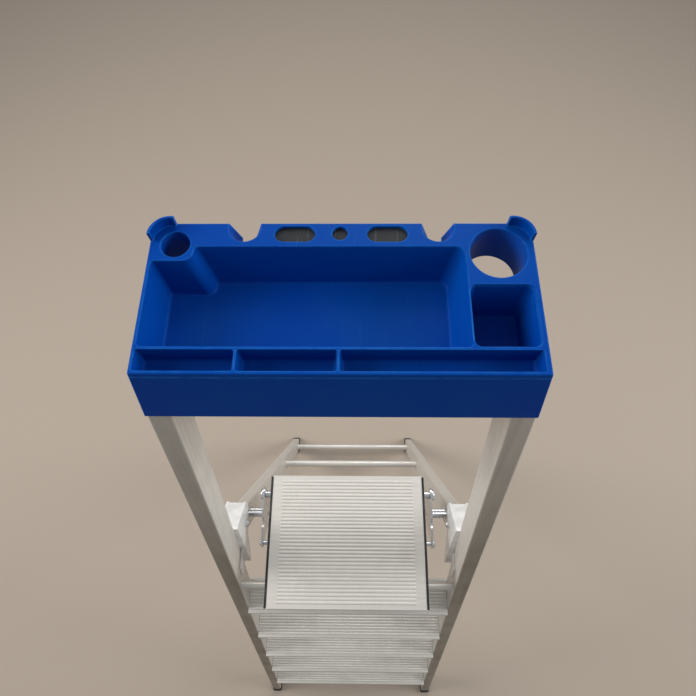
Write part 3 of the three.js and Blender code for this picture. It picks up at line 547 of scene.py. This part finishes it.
ALUMINIUM = (0.72, 0.69, 0.64)
FINISHES = {
    "tray": tray_plastic(),
    "stile": aluminium("stile_aluminium", (0.78, 0.75, 0.70), 0.34, (CLIMB_LEAN, 0, 0), front_shade=True),
    "support": aluminium("support_aluminium", ALUMINIUM, 0.34, (-SUPPORT_LEAN, 0, 0)),
    "ribbed": aluminium("ribbed_aluminium", ALUMINIUM, 0.36, (0, math.pi / 2, 0), grime=0.4),
    "tube": aluminium("tube_aluminium", ALUMINIUM, 0.30, (0, math.pi / 2, 0)),
    "plate": aluminium("plate_aluminium", ALUMINIUM, 0.32, (math.pi / 2, 0, 0)),
    "cast": cast_aluminium(),
    "steel": zinc_steel(),
    # near-black; on the platform's edge strips it is painted shade for the dark gap along the deck's sides
    "black": dark_plastic("black_plastic_and_gap_shade", (0.010, 0.010, 0.010), 0.5, 900),
    # near-black: painted shade for the dark seen through the rear deck's slots
    "slot_shade": dark_plastic("slot_shade_strip_plastic", (0.010, 0.012, 0.015), 0.6, 700, dusty=0.04),
    "rubber": dark_plastic("foot_rubber", (0.022, 0.022, 0.024), 0.75, 600),
}


# ================= tool tray =================
# Millimetres in the tray's own frame. A rectangle is x0, x1, y0, y1.
WALL = 2.6
RIM_ROUND = 1.4
FLOOR_ROUND = 4.0
POCKET_DEPTH = 60
ROW_DEPTH = 27
TUBE_DEPTH = 55
LEDGE_DEPTH = 30
MAIN_POCKET = (-216, 141, 31.5, 156)
STEPPED_CORNER = (-168, 136.5)      # the main pocket stays right of it, or in front of it
STEP_REACH = 10                     # further room that the step takes at the pocket's floor
RIGHT_POCKET = (143, 214, 32, 106.7)
ROW = (-216.5, 214, 3.8, 28)
COMPARTMENTS = ((-216.5, -111.4), (-108.6, -2.4), (0.4, 214))
HOLES = ((-190.4, 159.3, 16.9), (178.8, 148.0, 32.3))
SLOTS = ((-77, -30, 163, 184, 10.4), (30, 77, 163, 184, 10.4), (-10.4, 7.8, 165.3, 183.5, 9.0))
NOTCH_X = 112.2
NOTCH_Y = 163.5
NOTCH_RADIUS = 18.5
NOTCH_TAPER = 11
NOTCH_ROUND = 1.2
EAR_CENTRE = 24.5                   # from the side and from the rear edge
EAR_INSIDE = 21.0
EAR_OUTSIDE = 24.4


def quarter_steps(steps=4):
    """Pairs of angles that walk a quarter turn."""
    angles = [math.pi / 2 * k / steps for k in range(steps + 1)]
    return list(zip(angles, angles[1:]))


def round_rim(radius):
    """Goes down round a rounded rim."""
    for before, after in quarter_steps():
        drop(radius * (math.cos(before) - math.cos(after)) * MM,
             radius * (math.sin(after) - math.sin(before)) * MM)


def round_floor(radius):
    """Goes down round the fillet at a floor."""
    for before, after in quarter_steps():
        drop(radius * (math.sin(after) - math.sin(before)) * MM,
             radius * (math.cos(before) - math.cos(after)) * MM)


def pocket_solid(name, plate, depth, draft, grow, rim=RIM_ROUND, floor=FLOOR_ROUND, shift=(0.0, 0.0),
                 bend=None):
    """Solid with the shape of a pocket: plate is its level outline at the rim, already in edit mode.

    A grown solid is the outside of the wall round the pocket. The other is the hollow, with its rim
    flared for the rounded lip and its floor drawn in for the fillet.
    """
    inset_x, inset_y = draft
    if grow:
        drop(depth * MM, inset_x * MM, inset_y * MM, (shift[0] * MM, shift[1] * MM))
        if bend:
            bend(STEP_REACH)
        return finish_solid(plate)
    drop(1.0 * MM)
    round_rim(rim)
    drop((depth - rim - floor) * MM, inset_x * MM, inset_y * MM, (shift[0] * MM, shift[1] * MM))
    if bend:
        bend(STEP_REACH)
    round_floor(floor)
    return finish_solid(plate)


def box_pocket(name, x0, x1, y0, y1, radius, depth, draft, grow=0.0, **shape):
    """Pocket with a rectangular outline. A hollow starts 1 mm above the rim, wide of it by the lip."""
    out = grow if grow else shape.get("rim", RIM_ROUND)
    top = -0.6 if grow else 1.0
    extra = grow if grow else 0.0
    plate = start_plate(name, tray_point(x0 - out, y0 - out, top), tray_point(x1 + out, y1 + out, top),
                        (radius + out) * MM)
    return pocket_solid(name, plate, depth + extra + top * bool(grow), draft, grow, **shape)


def round_pocket(name, x, y, radius, depth, draft, grow=0.0, **shape):
    out = grow if grow else shape.get("rim", RIM_ROUND)
    top = -0.6 if grow else 1.0
    disc = start_disc(name, tray_point(x, y, top), (radius + out) * MM, 64)
    return pocket_solid(name, disc, depth + top * bool(grow), (draft, draft), grow, **shape)


def main_pocket(grow=0.0):
    """Main pocket: a rectangle whose rear left corner steps in round the small tool hole."""
    out = grow if grow else RIM_ROUND
    top = -0.6 if grow else 1.0
    left, right, near, far = (
        MAIN_POCKET[0] - out, MAIN_POCKET[1] + out, MAIN_POCKET[2] - out, MAIN_POCKET[3] + out)
    step_x, step_y = STEPPED_CORNER[0] - out, STEPPED_CORNER[1] + out
    plate = start_plate("main_pocket", tray_point(left, near, top), tray_point(right, step_y, top))
    bpy.ops.mesh.bisect(plane_co=tray_point(step_x, 0, 0), plane_no=(1, 0, 0))
    rear = tray_point(0, step_y, 0).y
    pick(lambda co: co.y > rear - 0.1 * MM and co.x > tray_point(step_x - 0.1, 0).x, "EDGE")
    bpy.ops.mesh.extrude_region_move(TRANSFORM_OT_translate={"value": (0, (far - step_y) * MM, 0)})
    bpy.ops.mesh.select_mode(type="VERT")
    bpy.ops.mesh.select_all(action="SELECT")
    bpy.ops.mesh.dissolve_limited(angle_limit=math.radians(1))
    corners = (
        (left, near, 4 + out), (right, near, 4 + out), (right, far, 11 + out), (left, step_y, 3 + out),
        (step_x, far, 4 + out), (step_x, step_y, 14 - out))
    for x, y, radius in corners:
        spot = tray_point(x, y, top)
        pick(lambda co: (co - spot).length < 0.3 * MM)
        bpy.ops.mesh.bevel(offset=radius * MM, offset_type="OFFSET", segments=7, affect="VERTICES")
    bpy.ops.mesh.select_mode(type="FACE")
    bpy.ops.mesh.select_all(action="SELECT")
    depth = POCKET_DEPTH + (grow - 0.6) * bool(grow)
    return pocket_solid("main_pocket", plate, depth, (8.5, 8), grow,
                        shift=(-2.5, -3.0), bend=widen_step)


def widen_step(reach):
    """Moves the stepped corner of the pocket's floor away from the tool hole."""
    low, high = picked_size()
    mesh = bmesh.from_edit_mesh(bpy.context.object.data)
    ring = [v for v in mesh.verts if v.select]
    for v in mesh.verts:
        v.select = v in ring and v.co.y > high.y - 28 * MM and low.x + 20 * MM < v.co.x < low.x + 75 * MM
    mesh.select_flush_mode()
    bmesh.update_edit_mesh(bpy.context.object.data)
    bpy.ops.transform.translate(value=(reach * MM, -0.15 * reach * MM, 0))
    for v in mesh.verts:
        v.select = v in ring
    for face in mesh.faces:
        face.select = all(v in ring for v in face.verts)
    bmesh.update_edit_mesh(bpy.context.object.data)


def tray_block(name, inset, top, bottom):
    """Block with the tray's leaning front, spreading sides and rounded rear corners."""
    piece = start_block(name, tray_point(inset - HALF_TRAY, inset, bottom),
                        tray_point(HALF_TRAY - inset, TRAY_DEPTH - inset, top))
    low = tray_point(0, 0, bottom + 0.1).z
    near = tray_point(0, inset + 0.1).y
    pick(lambda co: co.z < low)
    spread_by = 1 - bottom * TRAY_TAPER / TRAY_HEIGHT / (HALF_TRAY - inset)
    bpy.ops.transform.resize(value=(spread_by, 1, 1), center_override=tray_point(0, 0, bottom))
    pick(lambda co: co.z < low and co.y < near)
    bpy.ops.transform.translate(value=(0, bottom * math.tan(CLIMB_LEAN) * MM, 0))
    far = tray_point(0, TRAY_DEPTH - inset - 0.1).y
    pick(lambda co: co.y > far)
    mesh = bmesh.from_edit_mesh(piece.data)
    for edge in mesh.edges:
        a, b = (v.co for v in edge.verts)
        edge.select = a.y > far and b.y > far and abs(a.z - b.z) > abs(a.x - b.x)
    bmesh.update_edit_mesh(piece.data)
    bpy.ops.mesh.bevel(offset=(24 - inset) * MM, segments=12, affect="EDGES")
    return finish_solid(piece)


def tray_shell():
    """Outer body, open below: leaning front panel, side skirts and a shallower rear ledge."""
    shell = tray_block("tool_tray_moulding", 0, 0, -TRAY_HEIGHT)
    round_edges(shell, 1.5 * MM, 4, 35)
    for y, z in ((80, -65), (162, -30)):
        under = start_block("under", tray_point(-260, y, -95), tray_point(260, 210, z))
        cut(shell, finish_solid(under))
    groove = start_block("lip_groove", tray_point(-250, -4, -6.6), tray_point(250, -0.9, -5.4))
    cut(shell, finish_solid(groove))
    cut(shell, tray_block("hollow", 3.2, -3.5, -TRAY_HEIGHT - 12))
    return shell


def tray_ear(side):
    """Raised lip round a rear corner: a flat profile spun about the corner's centre."""
    centre = tray_point(side * (HALF_TRAY - EAR_CENTRE), TRAY_DEPTH - EAR_CENTRE, 0)
    low = centre + Vector((side * EAR_INSIDE * MM, 0, -1.5 * MM))
    high = centre + Vector((side * EAR_OUTSIDE * MM, 0, EAR_HEIGHT * MM))
    bpy.ops.object.select_all(action="DESELECT")
    bpy.ops.mesh.primitive_plane_add(size=1, location=(low + high) / 2, rotation=(math.pi / 2, 0, 0))
    bpy.context.object.scale = (abs(high.x - low.x), high.z - low.z, 1)
    ear = named("ear")
    pick(lambda co: co.z > high.z - 0.1 * MM)
    bpy.ops.mesh.bevel(offset=1.5 * MM, segments=4, affect="VERTICES")
    bpy.ops.mesh.select_all(action="SELECT")
    bpy.ops.mesh.spin(steps=18, angle=-side * math.radians(98), center=centre, axis=(0, 0, 1))
    bpy.ops.mesh.select_all(action="SELECT")
    bpy.ops.mesh.remove_doubles(threshold=1e-6)
    bpy.ops.mesh.normals_make_consistent(inside=False)
    return ear


def close_ends(piece):
    """Fills the open ends that a spin leaves."""
    edit(piece)
    bpy.ops.mesh.select_mode(type="EDGE")
    bpy.ops.mesh.select_all(action="DESELECT")
    bpy.ops.mesh.select_non_manifold()
    bpy.ops.mesh.edge_face_add()
    return finish_solid(piece)


def stile_plug(side):
    """Plug under a front corner of the tray, inside the top of the stile."""
    stile_low, stile_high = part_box(f"climbing_stile_{'left' if side < 0 else 'right'}")
    length = 44
    inner = min(abs(stile_low.x), abs(stile_high.x)) * 1000
    x0, x1 = sorted((side * (inner + 2.8), side * (inner + 27.4)))
    y1 = (stile_high.y - TRAY_ORIGIN.y) * 1000 - 2.8
    plug = start_block("plug", tray_point(x0, y1 - 56.4, -TRAY_HEIGHT - length),
                       tray_point(x1, y1, -TRAY_HEIGHT + 1))
    foot = tray_point(0, 0, -TRAY_HEIGHT - length + 1).z
    pick(lambda co: co.z < foot)
    bpy.ops.transform.translate(value=(
        side * length * math.tan(CLIMB_FLARE) * MM, -length * math.tan(CLIMB_LEAN) * MM, 0))
    return finish_solid(plug)


def corner_seat(side):
    """Flat pad that sits on the stile's cut end."""
    x0, x1 = sorted((side * (HALF_TRAY - 30), side * (HALF_TRAY + 4.4)))
    seat = start_block("seat", tray_point(x0, -20, -TRAY_HEIGHT), tray_point(x1, 58, -TRAY_HEIGHT + 4))
    return finish_solid(seat)


def rear_notch(x, grow=0.0):
    """U-shaped notch in the rear edge that narrows downwards, or the sleeve that hangs below it."""
    out = grow if grow else NOTCH_ROUND
    top = -0.6 if grow else 1.0
    radius = NOTCH_RADIUS + out
    plate = start_plate("notch", tray_point(x - radius, NOTCH_Y - out, top),
                        tray_point(x + radius, TRAY_DEPTH + (-0.2 if grow else 14), top))
    near = tray_point(0, NOTCH_Y + 0.1 - out).y
    pick(lambda co: co.y < near)
    bpy.ops.mesh.bevel(offset=(radius - 0.02) * MM, segments=18, affect="VERTICES")
    bpy.ops.mesh.select_mode(type="FACE")
    bpy.ops.mesh.select_all(action="SELECT")
    if not grow:
        drop(1.0 * MM)
        round_rim(NOTCH_ROUND)
    depth = LEDGE_DEPTH - 0.6 if grow else LEDGE_DEPTH + 6
    taper = NOTCH_TAPER * depth / LEDGE_DEPTH
    drop(depth * MM, taper * MM, taper / 2 * MM, (0, taper / 2 * MM))
    return finish_solid(plate)


def tool_tray():
    tray = tray_shell()
    join(tray, box_pocket("row_wall", *ROW, 2, ROW_DEPTH, (2, 2), WALL))
    join(tray, main_pocket(WALL))
    join(tray, box_pocket("right_wall", *RIGHT_POCKET, 7, POCKET_DEPTH, (5, 7), WALL, shift=(-2.0, -2.0)))
    for x, y, radius in HOLES:
        join(tray, round_pocket("tube", x, y, radius, TUBE_DEPTH, 0.8, WALL))
    for side in (-1, 1):
        join(tray, rear_notch(side * NOTCH_X, 3.0))
        join(tray, close_ends(tray_ear(side)))
        join(tray, corner_seat(side))
        join(tray, stile_plug(side))

    for x0, x1 in COMPARTMENTS:
        cut(tray, box_pocket("row", x0, x1, *ROW[2:], 1.5, ROW_DEPTH, (1.2, 1.2), rim=0.7, floor=4.5))
    cut(tray, main_pocket())
    cut(tray, box_pocket("right", *RIGHT_POCKET, 7, POCKET_DEPTH, (5, 7), rim=1.2, shift=(-2.0, -2.0)))
    for x, y, radius in HOLES:
        cut(tray, round_pocket("hole", x, y, radius, TUBE_DEPTH + 20, 1.2, rim=1.2))
    for side in (-1, 1):
        cut(tray, rear_notch(side * NOTCH_X))
    for x0, x1, y0, y1, radius in SLOTS:
        cut(tray, box_pocket("slot", x0, x1, y0, y1, radius, 12, (0.2, 0.2), rim=0.9, floor=0.5))
    edit(tray)
    bpy.ops.mesh.remove_doubles(threshold=2e-6)
    leave_edit()
    smooth(tray, 38)
    dress(tray, FINISHES["tray"], "climbing_frame", "tool_tray", slot="tray_plastic")


tool_tray()

# ================= metal, plastic and rubber pieces =================
PIECES = (
    # node name start, edge width in mm, finish
    ("climbing_stile", 0.7, "stile"),
    ("support_stile", 0.7, "support"),
    ("tread_bracket", 0.4, "plate"),
    ("tread_", 0.35, "ribbed"),
    ("platform_deck", 0.5, "ribbed"),
    ("platform_side_plate", 0.6, "plate"),
    # edge strips: near-black painted shade for the gap along the deck's side edges
    ("platform_edge_strip", 0.5, "black"),
    ("platform_rest_rod", 0.8, "tube"),
    ("platform_pin", 0.6, "steel"),
    ("stop_pin", 0.6, "steel"),
    ("support_brace", 0.8, "tube"),
    ("side_bracket", 0.7, "steel"),
    ("hinge_casting", 1.6, "cast"),
    ("pivot_", 0.7, "steel"),
    ("front_foot", 2.0, "rubber"),
    ("rear_foot", 2.0, "rubber"),
    ("top_crossbar", 0.6, "tube"),
    # the backing strip's near-black finish is painted shade under the slots
    ("slot_backing_strip", 0.4, "slot_shade"),
)


def body_of(node):
    return next(body for body, nodes in frame["record"]["behaviour"]["bodies"].items() if node in nodes)


def plain_pieces():
    for node in sorted(frame["nodes"]):
        if node == "tool_tray":
            continue
        width, finish = next((w, f) for start, w, f in PIECES if node.startswith(start))
        piece = finer_copy(node, width * MM)
        dress(piece, FINISHES[finish], body_of(node), node)


plain_pieces()


# ================= small parts that the frame draws as plain shapes =================
HEADS = (
    # node name start, radius and height in mm, body, +1 on the outer end or -1 on the inner end
    ("platform_pin", 11.4, 3.6, "support_frame", 1),
    ("stop_pin", 6.6, 2.4, "support_frame", 1),
    ("pivot_bolt", 4.9, 1.6, "climbing_frame", -1),
)
CLIP_LOW = (-3, -20.5, -81.2)
CLIP_HIGH = (3, -17.0, -78.6)


def dome(name, place, axis, radius, height, finish, body, rings=5):
    """Round-headed fastener: a disc drawn up and in, ring by ring, then set on its face."""
    head = start_disc(name, (0, 0, 0), radius, 32)
    drop(-0.25 * height)
    for before, after in quarter_steps(rings)[:-1]:
        drop(-0.75 * height * (math.sin(after) - math.sin(before)),
             radius * (math.cos(before) - math.cos(after)))
    finish_solid(head)
    select_only(head)
    head.rotation_euler = Vector(axis).to_track_quat("Z", "Y").to_euler()
    head.location = place
    bpy.ops.object.transform_apply(location=True, rotation=True, scale=True)
    smooth(head, 50)
    dress(head, FINISHES[finish], body)


def fastener_heads():
    """Round heads: platform pins, stop pins, and the ends of the pivot bolts."""
    for side, sign in SIDES:
        for node, radius, height, body, end in HEADS:
            outwards = sign * end
            low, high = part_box(f"{node}_{side}")
            place = (low + high) / 2
            place.x = high.x if outwards > 0 else low.x
            place.x -= outwards * 0.05 * MM
            dome(f"{node}_head_{side}", place, (outwards, 0, 0), radius * MM, height * MM, "steel", body)


def panel_clips():
    """Small dark clips under the tray's front panel, beside the stiles."""
    for side, sign in SIDES:
        low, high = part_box(f"climbing_stile_{side}")
        inner = min(abs(low.x), abs(high.x)) * 1000
        x = sign * (inner - 12)
        shift = Vector((x, 0, 0)) * MM
        clip = start_block(
            f"panel_clip_{side}", tray_point(*CLIP_LOW) + shift, tray_point(*CLIP_HIGH) + shift)
        bpy.ops.mesh.bevel(offset=0.7 * MM, segments=3, affect="EDGES")
        finish_solid(clip)
        smooth(clip)
        dress(clip, FINISHES["black"], "climbing_frame")


fastener_heads()
panel_clips()

# ================= floor, light and camera =================
def studio():
    bpy.ops.object.select_all(action="DESELECT")
    bpy.ops.mesh.primitive_plane_add(size=16, location=(0, 1.5, 0))
    floor = bpy.context.object
    floor.name = "studio_floor"
    paint = bpy.data.materials.new("pale_floor")
    paint.use_nodes = True
    shader = paint.node_tree.nodes["Principled BSDF"]
    shader.inputs["Base Color"].default_value = (0.37, 0.308, 0.25, 1)
    shader.inputs["Roughness"].default_value = 0.8
    floor.data.materials.append(paint)

    world = bpy.data.worlds.new("room")
    bpy.context.scene.world = world
    world.use_nodes = True
    sky = world.node_tree.nodes["Background"]
    sky.inputs["Color"].default_value = (0.95, 0.97, 1.0, 1)
    sky.inputs["Strength"].default_value = 0.34

    lamps = (
        # name, place, aim, size, power, colour
        ("ceiling_panel", (0.3, 2.9, 4.0), (0, 0.2, 1.6), 2.4, 62, (1.0, 0.98, 0.96)),
        ("left_window", (-3.0, 0.5, 3.3), (0, 0.2, 1.4), 1.8, 104, (1.0, 0.99, 0.97)),
        ("right_window", (3.2, 0.3, 3.0), (0, 0.2, 1.4), 1.8, 90, (0.97, 0.99, 1.0)),
    )
    for name, place, aim, size, power, colour in lamps:
        data = bpy.data.lights.new(name, "AREA")
        data.shape = "DISK"
        data.size = size
        data.energy = power
        data.color = colour
        lamp = bpy.data.objects.new(name, data)
        lamp.location = place
        lamp.rotation_euler = (Vector(aim) - Vector(place)).to_track_quat("-Z", "Y").to_euler()
        bpy.context.scene.collection.objects.link(lamp)


def camera():
    """Above the climber's side, looking steeply down on the tray."""
    pitch, yaw, roll = math.radians(66.41), math.radians(-2.12), math.radians(1.80)
    forward = Vector((math.sin(yaw) * math.cos(pitch), math.cos(yaw) * math.cos(pitch), -math.sin(pitch)))
    level = Vector((math.cos(yaw), -math.sin(yaw), 0))
    down = forward.cross(level)
    right = level * math.cos(roll) + down * math.sin(roll)
    up = level * math.sin(roll) - down * math.cos(roll)
    data = bpy.data.cameras.new("view_from_climber")
    data.sensor_width = 36
    data.lens = 28.45
    data.clip_end = 50
    eye = bpy.data.objects.new("view_from_climber", data)
    place = tray_point(17.66, -201.11, 529.02)
    eye.matrix_world = Matrix.Translation(place) @ Matrix((right, up, -forward)).transposed().to_4x4()
    bpy.context.scene.collection.objects.link(eye)
    bpy.context.scene.camera = eye
    bpy.context.scene.view_settings.view_transform = "Standard"


studio()
camera()
